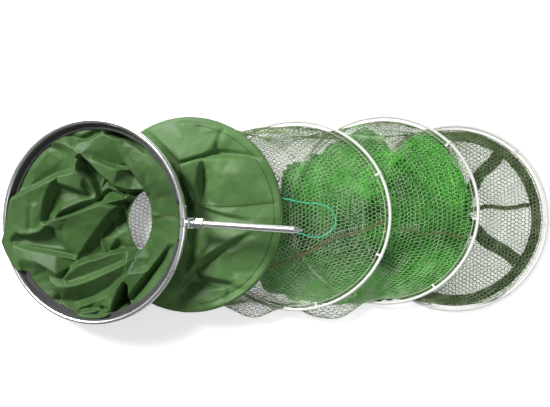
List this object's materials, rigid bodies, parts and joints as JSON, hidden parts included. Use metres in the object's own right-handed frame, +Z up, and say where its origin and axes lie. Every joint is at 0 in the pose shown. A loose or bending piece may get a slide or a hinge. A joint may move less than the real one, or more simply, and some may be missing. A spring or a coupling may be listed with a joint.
{
  "type": "collapsible keepnet",
  "caption": "Keepnet of overlapping round hoops with a fabric mouth sleeve, green mesh body and a swivelling bank spike.",
  "frame": {"origin": "On the ground under the middle of the outline of the five overlapping hoops, tie cord left out.", "axes": "+X along the row of hoops from the mouth ring to the last hoop, +Y to the left of that way, +Z up."},
  "size_m": [1.0187, 0.378, 0.1449],
  "materials": {
    "white_aluminium": "white satin coat on aluminium",
    "satin_aluminium": "satin cast and turned aluminium",
    "rivet_steel": "plain steel",
    "dark_steel": "dark steel",
    "grey_tape": "woven dark grey tape",
    "green_fabric": "dark green coated nylon with a fine weave",
    "cream_wire": "white plastic coated wire",
    "white_plastic": "white moulded plastic",
    "pale_cord": "thin pale cord",
    "green_net": "green knotless nylon mesh",
    "dark_webbing": "dark green woven webbing",
    "teal_cord": "thin sea-green braided cord"
  },
  "bodies": {
    "mouth": {"mouth_ring": "white_aluminium", "mouth_lining": "grey_tape", "bracket_sleeve_upper": "white_aluminium", "bracket_sleeve_lower": "white_aluminium", "sleeve_rivets": "rivet_steel", "ring_rivet": "dark_steel", "pivot_pin": "dark_steel", "fabric_sleeve": "green_fabric"},
    "swivel": {"swivel_block": "satin_aluminium", "spike_stud": "dark_steel", "spike_tube": "white_aluminium", "spike_point": "satin_aluminium"},
    "nut": {"lock_nut": "satin_aluminium"},
    "hoop_2": {"hoop_2_wire": "cream_wire", "hoop_2_ferrule": "rivet_steel", "hoop_2_hem": "green_fabric", "tie_loop": "teal_cord", "net_2_3": "green_net"},
    "hoop_3": {"hoop_3_wire": "cream_wire", "hoop_3_ferrule": "rivet_steel", "hoop_3_clips": "white_plastic", "hoop_3_edge_cord": "pale_cord", "net_3_4": "green_net"},
    "hoop_4": {"hoop_4_wire": "cream_wire", "hoop_4_ferrule": "rivet_steel", "hoop_4_clips": "white_plastic", "hoop_4_edge_cord": "pale_cord", "net_4_5": "green_net"},
    "hoop_5": {"hoop_5_wire": "cream_wire", "hoop_5_ferrule": "rivet_steel", "hoop_5_clips": "white_plastic", "hoop_5_edge_cord": "pale_cord", "base_net": "green_net", "base_band": "dark_webbing", "base_straps": "dark_webbing"}
  },
  "joints": [
    {"name": "spike_swivel", "type": "hinge", "parent": "mouth", "child": "swivel", "pos_m": [-0.15753, -0.0065, 0.09303], "axis": [0, -1, 0], "range_deg": [0, 180]},
    {"name": "lock_nut_turn", "type": "hinge", "parent": "swivel", "child": "nut", "pos_m": [-0.12953, -0.00801, 0.10002], "axis": [0.969, -0.0523, 0.2416], "continuous": true},
    {"name": "hoop_2_slide", "type": "slide", "parent": "mouth", "child": "hoop_2", "axis": [1, 0, 0], "range_m": [-0.13, 0.11], "deforming": ["fabric_sleeve"]},
    {"name": "hoop_3_slide", "type": "slide", "parent": "hoop_2", "child": "hoop_3", "axis": [1, 0, 0], "range_m": [-0.15, 0.15], "deforming": ["net_2_3"]},
    {"name": "hoop_4_slide", "type": "slide", "parent": "hoop_3", "child": "hoop_4", "axis": [1, 0, 0], "range_m": [-0.12, 0.17], "deforming": ["net_3_4"]},
    {"name": "hoop_5_slide", "type": "slide", "parent": "hoop_4", "child": "hoop_5", "axis": [1, 0, 0], "range_m": [-0.095, 0.19], "deforming": ["net_4_5"]}
  ]
}
